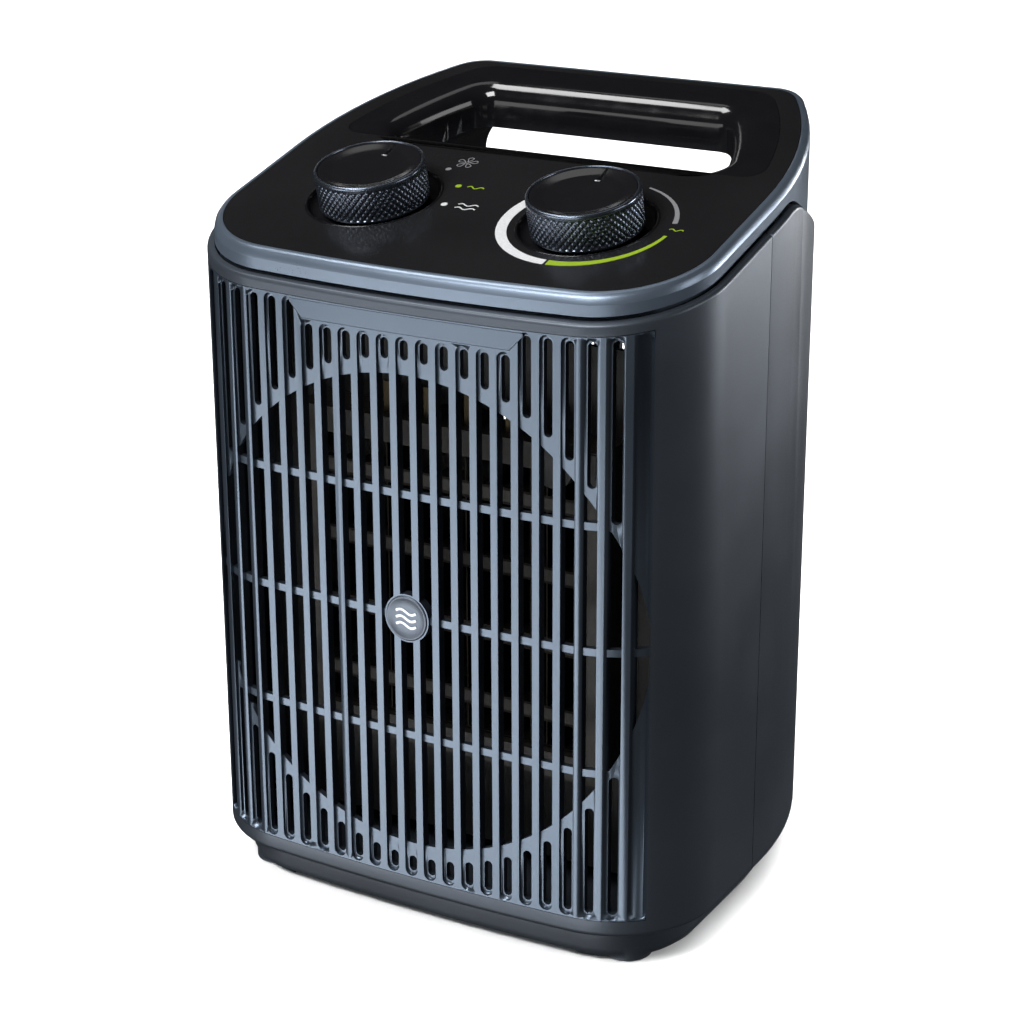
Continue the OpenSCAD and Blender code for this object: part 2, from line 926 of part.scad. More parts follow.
module cord_gland() {
  color([0.05, 0.05, 0.05])
    centred()
      difference() {
        union() {
          ycyl(8, inlet_x, inlet_z, body_d - 7, body_d + 1.8);
          ycyl(10, inlet_x, inlet_z, body_d + 0.1, body_d + 1.8);
        }
        ycyl(3.7, inlet_x, inlet_z, body_d - 9, body_d + 5);
      }
}

front_shell();
front_grille();
name_plate();
grille_badge();
rear_shell();
base_plinth();
rubber_feet();
top_cover();
handle_liner();
control_panel();
selector_dish();
thermostat_dish();
selector_knob();
selector_knob_cap();
thermostat_knob();
thermostat_knob_cap();
selector_switch();
selector_shaft();
thermostat_switch();
thermostat_shaft();
shaft_nuts();
air_duct();
heater_frame();
heater_ceramics();
heater_fins();
heater_terminals();
thermal_cutout();
motor_bracket();
fan_motor();
motor_shaft();
fan_impeller();
terminal_block();
cord_gland();
case_screws();
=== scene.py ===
"""Fan heater: finishes, knurled knobs, printed marks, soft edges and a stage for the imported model."""

import json
import math

import bmesh
import bpy
import numpy as np
from bpy.props import FloatProperty, FloatVectorProperty, IntProperty, PointerProperty
from mathutils import Matrix, Vector

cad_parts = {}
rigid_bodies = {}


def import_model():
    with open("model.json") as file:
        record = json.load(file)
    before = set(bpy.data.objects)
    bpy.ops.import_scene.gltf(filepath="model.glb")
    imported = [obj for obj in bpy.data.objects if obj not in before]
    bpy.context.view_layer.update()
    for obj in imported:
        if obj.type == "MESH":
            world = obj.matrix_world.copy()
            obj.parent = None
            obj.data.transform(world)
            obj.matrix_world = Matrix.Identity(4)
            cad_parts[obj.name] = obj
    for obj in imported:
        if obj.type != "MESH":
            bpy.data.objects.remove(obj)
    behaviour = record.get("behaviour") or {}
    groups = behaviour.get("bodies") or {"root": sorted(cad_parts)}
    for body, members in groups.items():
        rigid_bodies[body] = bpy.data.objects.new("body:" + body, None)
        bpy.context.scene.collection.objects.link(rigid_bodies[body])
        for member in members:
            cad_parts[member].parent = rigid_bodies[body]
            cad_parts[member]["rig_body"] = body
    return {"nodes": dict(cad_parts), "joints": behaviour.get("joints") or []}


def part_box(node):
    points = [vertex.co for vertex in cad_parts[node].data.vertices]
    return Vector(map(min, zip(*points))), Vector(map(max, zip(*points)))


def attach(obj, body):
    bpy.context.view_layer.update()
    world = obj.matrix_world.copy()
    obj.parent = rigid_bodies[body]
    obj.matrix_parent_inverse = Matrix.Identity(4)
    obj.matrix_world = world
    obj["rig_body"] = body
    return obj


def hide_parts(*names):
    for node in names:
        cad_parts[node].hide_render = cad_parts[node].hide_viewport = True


bl_info = {
    "name": "Fan Heater",
    "version": (1, 0, 0),
    "blender": (4, 5, 0),
    "location": "3D View > Sidebar > Heater",
    "description": "Finishes, knurled knobs, printed marks and a stage for an upright fan heater",
    "category": "Object",
}

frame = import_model()

# the deck's own axes, from the selector's joint: x across, s up the slope, h square to the deck
TURNS = {j["name"]: j for j in frame["joints"]}
DECK_UP = np.array(TURNS["selector_turn"]["axis"], float)
DECK_S = np.array([0.0, DECK_UP[2], -DECK_UP[1]])
LEFT = np.array(TURNS["selector_turn"]["pos_m"], float)
RIGHT = np.array(TURNS["thermostat_turn"]["pos_m"], float)
FAN = np.array(TURNS["fan_spin"]["pos_m"], float)


def size_of(node):
    """Width, depth and height of a CAD node."""
    low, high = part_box(node)
    return high - low


# middle of the hand hole in plan
HOLE = ((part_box("handle_liner")[0].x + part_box("handle_liner")[1].x) / 2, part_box("handle_liner")[0].y + 0.026)
# a knob's radius is half its width across the deck
KNOB_R = size_of("selector_knob")[0] / 2
KNOB_TOP = 0.0118


class HeaterSizes(bpy.types.PropertyGroup):
    """Sizes of the detail that the finishing adds"""

    knurl_count: IntProperty(
        name="Knurl Count", description="Diamonds round a knob", default=50, min=24, max=80
    )
    knurl_depth: FloatProperty(
        name="Knurl Depth", description="Depth of the knurl's grooves", default=0.00055,
        subtype="DISTANCE", unit="LENGTH", precision=5,
    )
    knurl_pitch: FloatProperty(
        name="Knurl Pitch", description="Height of one knurl diamond", default=0.00262,
        subtype="DISTANCE", unit="LENGTH", precision=5,
    )
    case_round: FloatProperty(
        name="Case Edge", description="Radius of the case's upper and lower edges", default=0.0013,
        subtype="DISTANCE", unit="LENGTH", precision=5,
    )
    liner_round: FloatProperty(
        name="Liner Roll", description="Radius of the rolled inner edge of the handle", default=0.0068,
        subtype="DISTANCE", unit="LENGTH", precision=5,
    )
    scale_radius: FloatProperty(
        name="Scale Radius", description="Outer radius of the printed thermostat scale", default=0.0303,
        subtype="DISTANCE", unit="LENGTH", precision=5,
    )


class HeaterColours(bpy.types.PropertyGroup):
    """Colours of the heater's finishes"""

    # the case's colour is set darker than the grille's slate: painted shade standing in for the shade on the case's
    # sides
    paint: FloatVectorProperty(
        name="Case", description="Colour of the case", default=(0.058, 0.070, 0.088),
        subtype="COLOR", size=3, min=0, max=1,
    )
    bars: FloatVectorProperty(
        name="Grille", description="Colour of the grille and the cover's rim", default=(0.094, 0.120, 0.156),
        subtype="COLOR", size=3, min=0, max=1,
    )
    panel: FloatVectorProperty(
        name="Panel", description="Colour of the control panel", default=(0.012, 0.012, 0.013),
        subtype="COLOR", size=3, min=0, max=1,
    )
    green: FloatVectorProperty(
        name="Green", description="Colour of the green print", default=(0.30, 0.45, 0.012),
        subtype="COLOR", size=3, min=0, max=1,
    )
    white: FloatVectorProperty(
        name="White", description="Colour of the white print", default=(0.74, 0.75, 0.76),
        subtype="COLOR", size=3, min=0, max=1,
    )


# ---- places on the deck ----
def on_deck(x, s, h, centre=LEFT):
    """Points from deck coordinates about a knob's centre: centre + x across + s up the slope + h square to the deck."""
    x, s, h = np.broadcast_arrays(np.asarray(x, float), s, h)
    return (
        centre
        + x[..., None] * np.array([1.0, 0.0, 0.0])
        + s[..., None] * DECK_S
        + h[..., None] * DECK_UP
    )


def on_front(x, z, h, centre):
    """Points on the front: centre + x across + z up + h out of the face, towards -Y."""
    x, z, h = np.broadcast_arrays(np.asarray(x, float), z, h)
    return centre + np.stack([x, -h, z], -1)


# ---- meshes ----
def grid_faces(rows, cols, wrap_rows=False, wrap_cols=False):
    """Quads of a rows x cols grid of points, joined end to end along either way if asked."""
    r = np.arange(rows if wrap_rows else rows - 1)
    c = np.arange(cols if wrap_cols else cols - 1)
    rr, cc = np.meshgrid(r, c, indexing="ij")
    a = rr * cols + cc
    b = rr * cols + (cc + 1) % cols
    d = ((rr + 1) % rows) * cols + cc
    e = ((rr + 1) % rows) * cols + (cc + 1) % cols
    return np.stack([a, b, e, d], axis=-1).reshape(-1, 4)


def surface(name, points, faces, materials, smooth=35.0, merge=True, out=True):
    """A mesh object from points and faces, doubles merged, faces turned outwards, edges sharper than smooth kept sharp."""
    mesh = bpy.data.meshes.new(name)
    mesh.from_pydata(points.reshape(-1, 3), [], faces.tolist() if hasattr(faces, "tolist") else faces)
    for m in materials:
        mesh.materials.append(m)
    tidy(mesh, smooth, merge, out)
    obj = bpy.data.objects.new(name, mesh)
    bpy.context.scene.collection.objects.link(obj)
    return obj


def tidy(mesh, smooth, merge=True, out=True):
    """Merges doubles, drops faces without area, turns the rest outwards and marks sharp edges."""
    bm = bmesh.new()
    bm.from_mesh(mesh)
    if merge:
        bmesh.ops.remove_doubles(bm, verts=bm.verts, dist=2e-6)
        bmesh.ops.dissolve_degenerate(bm, edges=bm.edges, dist=1e-6)
    if out:
        bmesh.ops.recalc_face_normals(bm, faces=bm.faces)
    bm.to_mesh(mesh)
    bm.free()
    mesh.shade_smooth()
    mesh.set_sharp_from_angle(angle=math.radians(smooth))
    mesh.update()


def lathe(name, profile, centre, materials, count=160, lift=None, drop=None, angles=None, place=None, smooth=35.0):
    """Profile of radius and height turned about the deck's square axis through centre.
    Point(a, k) = centre + (r_k + lift) (cos a across + sin a up the slope) + (h_k - drop) square to the deck."""
    profile = np.asarray(profile, float)
    a = np.linspace(0, 2 * math.pi, count, endpoint=False) if angles is None else angles
    r = np.repeat(profile[:, 0][None, :], len(a), 0)
    h = np.repeat(profile[:, 1][None, :], len(a), 0)
    if drop is not None:
        h = h - drop(a[:, None], h, r)
    if lift is not None:
        r = r + lift(a[:, None], h, r)
    points = (place or on_deck)(r * np.cos(a)[:, None], r * np.sin(a)[:, None], h, centre)
    faces = grid_faces(len(a), len(profile), wrap_rows=True)
    return surface(name, points, faces, materials, smooth)


def arc(cx, cy, r, a0, a1, n):
    """Points of a circle's arc from a0 to a1 degrees."""
    a = np.radians(np.linspace(a0, a1, n))
    return np.stack([cx + r * np.cos(a), cy + r * np.sin(a)], -1)


def ribbon(path, width, closed=False):
    """Left and right edges of a flat line of that width along a path: path -/+ half the width square to the tangent."""
    path = np.asarray(path, float)
    if closed:
        tangent = np.roll(path, -1, 0) - np.roll(path, 1, 0)
    else:
        tangent = np.gradient(path, axis=0)
    tangent /= np.maximum(np.linalg.norm(tangent, axis=1, keepdims=True), 1e-12)
    side = np.stack([-tangent[:, 1], tangent[:, 0]], -1)
    half = np.broadcast_to(np.asarray(width, float) / 2, (len(path),))[:, None]
    return path - side * half, path + side * half


def printed(name, bands, centre, material, closed=False, high=0.00008, low=0.00005, place=None):
    """Ink or inlay on a face: each band of two edges becomes a thin closed strip from low under the face to high above it."""
    points, faces, base = [], [], 0
    for left, right in bands:
        n = len(left)
        ring = np.stack([left, right, right, left], 1)
        h = np.broadcast_to(np.array([high, high, -low, -low]), ring.shape[:2])
        p = (place or on_deck)(ring[..., 0], ring[..., 1], h, centre)
        points.append(p.reshape(-1, 3))
        faces.extend((grid_faces(n, 4, wrap_rows=closed, wrap_cols=True) + base).tolist())
        if not closed:
            end = base + (n - 1) * 4
            faces.append([base, base + 3, base + 2, base + 1])
            faces.append([end, end + 1, end + 2, end + 3])
        base += n * 4
    obj = surface(name, np.concatenate(points), faces, [material], smooth=30.0)
    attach(obj, "housing")
    return obj


def wave(cx, cy, length, swing, turns, n=40):
    """A rising-warmth sign: x along the length, y = swing sin(2 pi turns t)."""
    t = np.linspace(0, 1, n)
    return np.stack([cx + length * (t - 0.5), cy + swing * np.sin(2 * math.pi * turns * t)], -1)


def petal(cx, cy, out, long, wide, turn, n=28):
    """One fan blade's outline: an ellipse long by wide, its middle out from the hub, leaning by turn."""
    t = np.linspace(0, 2 * math.pi, n, endpoint=False)
    x, y = out + long * np.cos(t), wide * np.sin(t) + 0.35 * long * np.sin(t) * np.cos(t)
    c, q = math.cos(turn), math.sin(turn)
    return np.stack([cx + x * c - y * q, cy + x * q + y * c], -1)


def pebble(name, middle, half, power, material, centre, n=20):
    """Soft-cornered block on the deck: on each axis half * sgn(c) |c|^power of a sphere's direction cosines."""
    u = np.linspace(-math.pi / 2, math.pi / 2, n)[:, None]
    v = np.linspace(0, 2 * math.pi, 2 * n, endpoint=False)[None, :]

    def soft(c):
        return np.sign(c) * np.abs(c) ** power

    x = half[0] * soft(np.cos(u)) * soft(np.cos(v))
    y = half[1] * soft(np.cos(u)) * soft(np.sin(v))
    z = half[2] * soft(np.sin(u)) * np.ones_like(v)
    points = on_deck(middle[0] + x, middle[1] + y, middle[2] + z, centre)
    return surface(name, points, grid_faces(n, 2 * n, wrap_cols=True), [material], smooth=60.0)


def finished_copy(node, name, materials, smooth=32.0, edit=None, merge=4e-6, flat=0.4):
    """The CAD node's surface as one welded mesh with soft shading; edit(bm) rounds the edges that the moulding rounds."""
    source = frame["nodes"][node]
    mesh = bpy.data.meshes.new(name)
    bm = bmesh.new()
    bm.from_mesh(source.data)
    bmesh.ops.remove_doubles(bm, verts=bm.verts, dist=merge)
    if flat:
        bmesh.ops.dissolve_limit(
            bm, angle_limit=math.radians(flat), verts=bm.verts, edges=bm.edges, delimit={"NORMAL"}
        )
    if edit:
        edit(bm)
    bm.to_mesh(mesh)
    bm.free()
    for m in materials:
        mesh.materials.append(m)
    mesh.shade_smooth()
    mesh.set_sharp_from_angle(angle=math.radians(smooth))
    mesh.update()
    obj = bpy.data.objects.new(name, mesh)
    bpy.context.scene.collection.objects.link(obj)
    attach(obj, body_of[node])
    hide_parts(node)
    return obj


body_of = {n: o["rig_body"] for n, o in frame["nodes"].items()}


# ---- finishes ----
def finish_named(name):
    """A new node material and its shader."""
    m = bpy.data.materials.new(name)
    m.use_nodes = True
    tree = m.node_tree
    shader = next(n for n in tree.nodes if n.type == "BSDF_PRINCIPLED")
    return m, tree, shader


def speckle(tree, scale, detail=2.0, roughness=0.5):
    """Noise on object coordinates, scale in ripples a metre."""
    where = tree.nodes.new("ShaderNodeTexCoord")
    noise = tree.nodes.new("ShaderNodeTexNoise")
    noise.inputs["Scale"].default_value = scale
    noise.inputs["Detail"].default_value = detail
    noise.inputs["Roughness"].default_value = roughness
    tree.links.new(where.outputs["Object"], noise.inputs["Vector"])
    return noise


def spread(tree, source, low, high, start=0.35, stop=0.65):
    """Maps a value from start..stop to low..high."""
    span = tree.nodes.new("ShaderNodeMapRange")
    span.inputs["From Min"].default_value = start
    span.inputs["From Max"].default_value = stop
    span.inputs["To Min"].default_value = low
    span.inputs["To Max"].default_value = high
    tree.links.new(source, span.inputs["Value"])
    return span.outputs["Result"]


def two_tone(tree, source, one, two):
    """Colour between one and two as source goes from 0 to 1."""
    mix = tree.nodes.new("ShaderNodeMix")
    mix.data_type = "RGBA"
    mix.inputs["A"].default_value = (*one, 1)
    mix.inputs["B"].default_value = (*two, 1)
    tree.links.new(source, mix.inputs["Factor"])
    return mix.outputs["Result"]


def grained(tree, shader, source, strength, distance):
    """Bump from a value."""
    bump = tree.nodes.new("ShaderNodeBump")
    bump.inputs["Strength"].default_value = strength
    bump.inputs["Distance"].default_value = distance
    tree.links.new(source, bump.inputs["Height"])
    tree.links.new(bump.outputs["Normal"], shader.inputs["Normal"])


def moulded(name, colour, rough=0.42, metal=0.0, grain=2600.0, bump=0.10, vary=0.10, coat=0.0, specular=0.5):
    """Moulded or painted surface: colour drifting slowly, fine spark grain, roughness that follows both."""
    m, tree, shader = finish_named(name)
    c = np.array(colour, float)
    drift = speckle(tree, 14.0, 3.0)
    fine = speckle(tree, grain, 2.0)
    tone = two_tone(tree, spread(tree, drift.outputs["Fac"], 0, 1), c * (1 - vary), np.minimum(c * (1 + vary), 1))
    tree.links.new(tone, shader.inputs["Base Color"])
    shader.inputs["Metallic"].default_value = metal
    shader.inputs["Specular IOR Level"].default_value = specular
    shader.inputs["Coat Weight"].default_value = coat
    shader.inputs["Coat Roughness"].default_value = 0.12
    both = tree.nodes.new("ShaderNodeMath")
    both.operation = "ADD"
    tree.links.new(spread(tree, drift.outputs["Fac"], rough - 0.03, rough + 0.03), both.inputs[0])
    tree.links.new(spread(tree, fine.outputs["Fac"], -0.03, 0.03), both.inputs[1])
    tree.links.new(both.outputs["Value"], shader.inputs["Roughness"])
    if bump:
        grained(tree, shader, fine.outputs["Fac"], bump, 0.00012)
    return m


def glossy_black(name, colour=(0.006, 0.006, 0.007), rough=0.07):
    """Polished black moulding with faint waves and rubbed patches."""
    m, tree, shader = finish_named(name)
    wave = speckle(tree, 32.0, 1.0)
    rub = speckle(tree, 90.0, 4.0, 0.6)
    c = np.array(colour)
    tree.links.new(two_tone(tree, rub.outputs["Fac"], c, c * 1.5), shader.inputs["Base Color"])
    tree.links.new(spread(tree, rub.outputs["Fac"], rough, rough + 0.07), shader.inputs["Roughness"])
    shader.inputs["Specular IOR Level"].default_value = 0.5
    grained(tree, shader, wave.outputs["Fac"], 0.12, 0.0004)
    return m


def metal_finish(name, colour, rough=0.3, streak=900.0):
    """Bare metal with drawn streaks along Z."""
    m, tree, shader = finish_named(name)
    where = tree.nodes.new("ShaderNodeTexCoord")
    stretch = tree.nodes.new("ShaderNodeMapping")
    stretch.inputs["Scale"].default_value = (1.0, 1.0, 0.04)
    noise = tree.nodes.new("ShaderNodeTexNoise")
    noise.inputs["Scale"].default_value = streak
    noise.inputs["Detail"].default_value = 3.0
    tree.links.new(where.outputs["Object"], stretch.inputs["Vector"])
    tree.links.new(stretch.outputs["Vector"], noise.inputs["Vector"])
    c = np.array(colour, float)
    tree.links.new(two_tone(tree, noise.outputs["Fac"], c * 0.8, np.minimum(c * 1.1, 1)), shader.inputs["Base Color"])
    tree.links.new(spread(tree, noise.outputs["Fac"], rough - 0.08, rough + 0.08), shader.inputs["Roughness"])
    shader.inputs["Metallic"].default_value = 1.0
    grained(tree, shader, noise.outputs["Fac"], 0.1, 0.00005)
    return m


def ink(name, colour, rough=0.45):
    """Screen print: flat colour with the small unevenness of a printed film."""
    m, tree, shader = finish_named(name)
    c = np.array(colour, float)
    film = speckle(tree, 1500.0, 2.0)
    tree.links.new(two_tone(tree, spread(tree, film.outputs["Fac"], 0, 1), c * 0.9, np.minimum(c * 1.06, 1)), shader.inputs["Base Color"])
    tree.links.new(spread(tree, film.outputs["Fac"], rough - 0.05, rough + 0.05), shader.inputs["Roughness"])
    return m


def rubber_finish(name):
    """Black rubber with a dusty, uneven face."""
    return moulded(name, (0.018, 0.018, 0.018), rough=0.75, grain=1400.0, bump=0.25, vary=0.25, specular=0.3)


MADE = {}


def finishes():
    """All the finishes, made once from the colours."""
    if MADE:
        return MADE
    c = bpy.context.scene.heater_colours
    # the case takes the darker copy of the slate, as painted shade for its sides; the plinth is made from it
    MADE["case"] = moulded("satin_slate_case_painted_shade", c.paint, rough=0.40, metal=0.55, coat=0.05)
    MADE["plinth"] = moulded("satin_slate_plinth", [x * 0.8 for x in c.paint], rough=0.45, metal=0.45)
    MADE["bars"] = moulded("satin_slate_bars", c.bars, rough=0.36, metal=0.8, coat=0.08)
    MADE["plate"] = moulded("satin_slate_plate", [x * 0.92 for x in c.bars], rough=0.36, metal=0.8, coat=0.08)
    MADE["badge"] = moulded("badge_satin", (0.095, 0.115, 0.145), rough=0.36, metal=0.5)
    MADE["badge_mark"] = moulded("badge_bright", (0.40, 0.43, 0.48), rough=0.30, metal=0.7, bump=0.03)
    # the top cover's rim is the grille's slate made 1.45 times lighter: painted light standing in for the light its
    # upward tilt catches
    MADE["rim"] = moulded("cover_slate_painted_light", [x * 1.45 for x in c.bars], rough=0.32, metal=0.6, coat=0.1)
    MADE["panel"] = moulded("satin_black_panel", c.panel, rough=0.17, grain=3200.0, bump=0.015, vary=0.12)
    MADE["liner"] = glossy_black("gloss_black_liner")
    MADE["dish"] = glossy_black("gloss_black_dish", rough=0.05)
    MADE["cap"] = glossy_black("knob_cap_black", (0.008, 0.008, 0.009), rough=0.10)
    MADE["grip"] = moulded("knurled_slate", (0.11, 0.13, 0.165), rough=0.24, metal=0.9, bump=0.03, coat=0.1)
    MADE["tip"] = moulded("pointer_bright", (0.50, 0.52, 0.55), rough=0.28, metal=0.7, bump=0.02)
    MADE["inside"] = moulded("dark_inner_moulding", (0.005, 0.005, 0.0055), rough=0.6, grain=1200.0)
    MADE["duct"] = moulded("dark_duct", (0.005, 0.005, 0.005), rough=0.55, grain=1200.0)
    # the mica frame, the ceramics, the fins and the brass tabs are painted near black: painted shade for the inside of
    # the case, darker than these parts' own colours
    MADE["mica"] = moulded("mica_painted_shade_dark", (0.013, 0.011, 0.009), rough=0.5, grain=700.0, bump=0.3, vary=0.35)
    MADE["stone"] = moulded("heater_ceramic", (0.022, 0.020, 0.018), rough=0.7, grain=900.0, bump=0.3, vary=0.15)
    MADE["fins"] = metal_finish("fins_painted_shade_dark", (0.020, 0.018, 0.016), 0.60)
    MADE["steel"] = metal_finish("plain_steel", (0.42, 0.42, 0.43), 0.32)
    MADE["brass"] = metal_finish("brass_painted_shade_dark", (0.060, 0.048, 0.030), 0.5)
    MADE["motor"] = metal_finish("motor_can", (0.3, 0.3, 0.31), 0.38)
    MADE["rubber"] = rubber_finish("foot_rubber")
    MADE["block"] = moulded("terminal_nylon", (0.55, 0.55, 0.5), rough=0.5, grain=900.0)
    MADE["switch"] = moulded("switch_moulding", (0.02, 0.02, 0.022), rough=0.5, grain=900.0)
    MADE["steatite"] = moulded("thermostat_stone", (0.6, 0.57, 0.5), rough=0.65, grain=700.0, bump=0.25)
    MADE["green"] = ink("green_print", c.green)
    MADE["white"] = ink("white_print", c.white)
    MADE["grey"] = ink("grey_print", (0.24, 0.24, 0.25))
    return MADE


# ---- rounding of moulded edges ----
def deck_h(p):
    """Height of a point square to the deck, from the panel's face."""
    return float((np.array(p) - LEFT) @ DECK_UP)


def round_edges(bm, pick, radius, segments):
    """Rounds the edges that pick(edge, one normal, other normal) chooses, among those that fold by more than 38 degrees."""
    bm.normal_update()
    chosen = [
        e
        for e in bm.edges
        if len(e.link_faces) == 2
        and e.calc_face_angle(0) > math.radians(38)
        and pick(e, e.link_faces[0].normal, e.link_faces[1].normal)
    ]
    if chosen:
        bmesh.ops.bevel(
            bm, geom=chosen, offset=radius, offset_type="OFFSET", segments=segments,
            profile=0.5, affect="EDGES", clamp_overlap=False, loop_slide=True,
        )
    return len(chosen)


def outer_wall(edge, normal, middle=(0.0, 0.0)):
    """True if a wall's normal is level and points away from the heater's middle."""
    p = (edge.verts[0].co + edge.verts[1].co) / 2
    return abs(normal.z) < 0.08 and normal.x * (p.x - middle[0]) + normal.y * (p.y - middle[1]) > 0


# ---- the operators ----
class HEATER_OT_case(bpy.types.Operator):
    """Front and rear halves of the case and the plinth, with softened edges"""

    bl_idname = "heater.case"
    bl_label = "Case"

    def execute(self, context):
        f = finishes()
        radius = context.scene.heater_sizes.case_round
        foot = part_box("front_shell")[0].z

        def upper(e, one, two):
            """The upper outer edge, where a level wall meets the sloping top."""
            if min(deck_h(v.co) for v in e.verts) < -0.0082 and e.verts[0].co.y < 0.0:
                return False
            for wall, top in ((one, two), (two, one)):
                if outer_wall(e, wall) and top.z > 0.85 and min(v.co.z for v in e.verts) > 0.2:
                    return True
            return False

        def lower(e, one, two):
            """The lower outer edge."""
            if max(v.co.z for v in e.verts) > foot + 0.0001:
                return False
            return any(outer_wall(e, a) and b.z < -0.85 for a, b in ((one, two), (two, one)))

        def soften(bm):
            """Rounds the upper and then the lower outer edge."""
            round_edges(bm, upper, radius, 4)
            round_edges(bm, lower, radius * 1.7, 5)

        for node, name in (("front_shell", "case_front"), ("rear_shell", "case_rear")):
            finished_copy(node, name, [f["case"]], edit=soften)
        finished_copy("base_plinth", "plinth", [f["plinth"]])
        return {"FINISHED"}


class HEATER_OT_grille(bpy.types.Operator):
    """Barred front grille, blank name plate and round badge"""

    bl_idname = "heater.grille"
    bl_label = "Grille"

    def execute(self, context):
        f = finishes()
        finished_copy("front_grille", "grille", [f["bars"]])
        finished_copy("name_plate", "blank_name_plate", [f["plate"]])
        low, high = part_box("grille_badge")
        r = (high.x - low.x) / 2
        middle = np.array([(low.x + high.x) / 2, low.y, (low.z + high.z) / 2])
        deep = high.y - low.y
        rim = arc(r - 0.0005, -0.0005, 0.0005, 0, 90, 7)
        face = np.array([(r - 0.0009, -0.00002), (r - 0.0011, -0.00014), (r * 0.5, -0.00010), (0, -0.00006)])
        badge = lathe(
            "badge_disc", np.concatenate([[(0, -deep), (r, -deep)], rim, face]), middle, [f["badge"]],
            count=120, place=on_front, smooth=40.0,
        )
        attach(badge, "housing")
        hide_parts("grille_badge")
        bands = [ribbon(wave(0.0, z, 0.0078, 0.00075, 1.0), 0.00085) for z in (-0.0024, 0.0, 0.0024)]
        printed(
            "badge_sign", bands, middle, f["badge_mark"], high=0.00012, low=0.0003, place=on_front,
        )
        return {"FINISHED"}


class HEATER_OT_top(bpy.types.Operator):
    """Top cover, control panel and glossy handle liner"""

    bl_idname = "heater.top"
    bl_label = "Top"

    def execute(self, context):
        f = finishes()
        finished_copy("top_cover", "cover", [f["rim"]])
        finished_copy("control_panel", "panel_sheet", [f["panel"]])
        roll = context.scene.heater_sizes.liner_round

        def inner(e, one, two):
            """The hole's upper edge, where the liner's top strip turns down into its wall."""
            if min(deck_h(v.co) for v in e.verts) < -0.0001:
                return False
            p = (e.verts[0].co + e.verts[1].co) / 2
            for top, wall in ((one, two), (two, one)):
                into = wall.x * (HOLE[0] - p.x) + wall.y * (HOLE[1] - p.y) > 0
                if top.dot(Vector(DECK_UP)) > 0.98 and abs(wall.z) < 0.05 and into:
                    return True
            return False

        finished_copy(
            "handle_liner", "liner", [f["liner"]], edit=lambda bm: round_edges(bm, inner, roll, 7)
        )
        return {"FINISHED"}


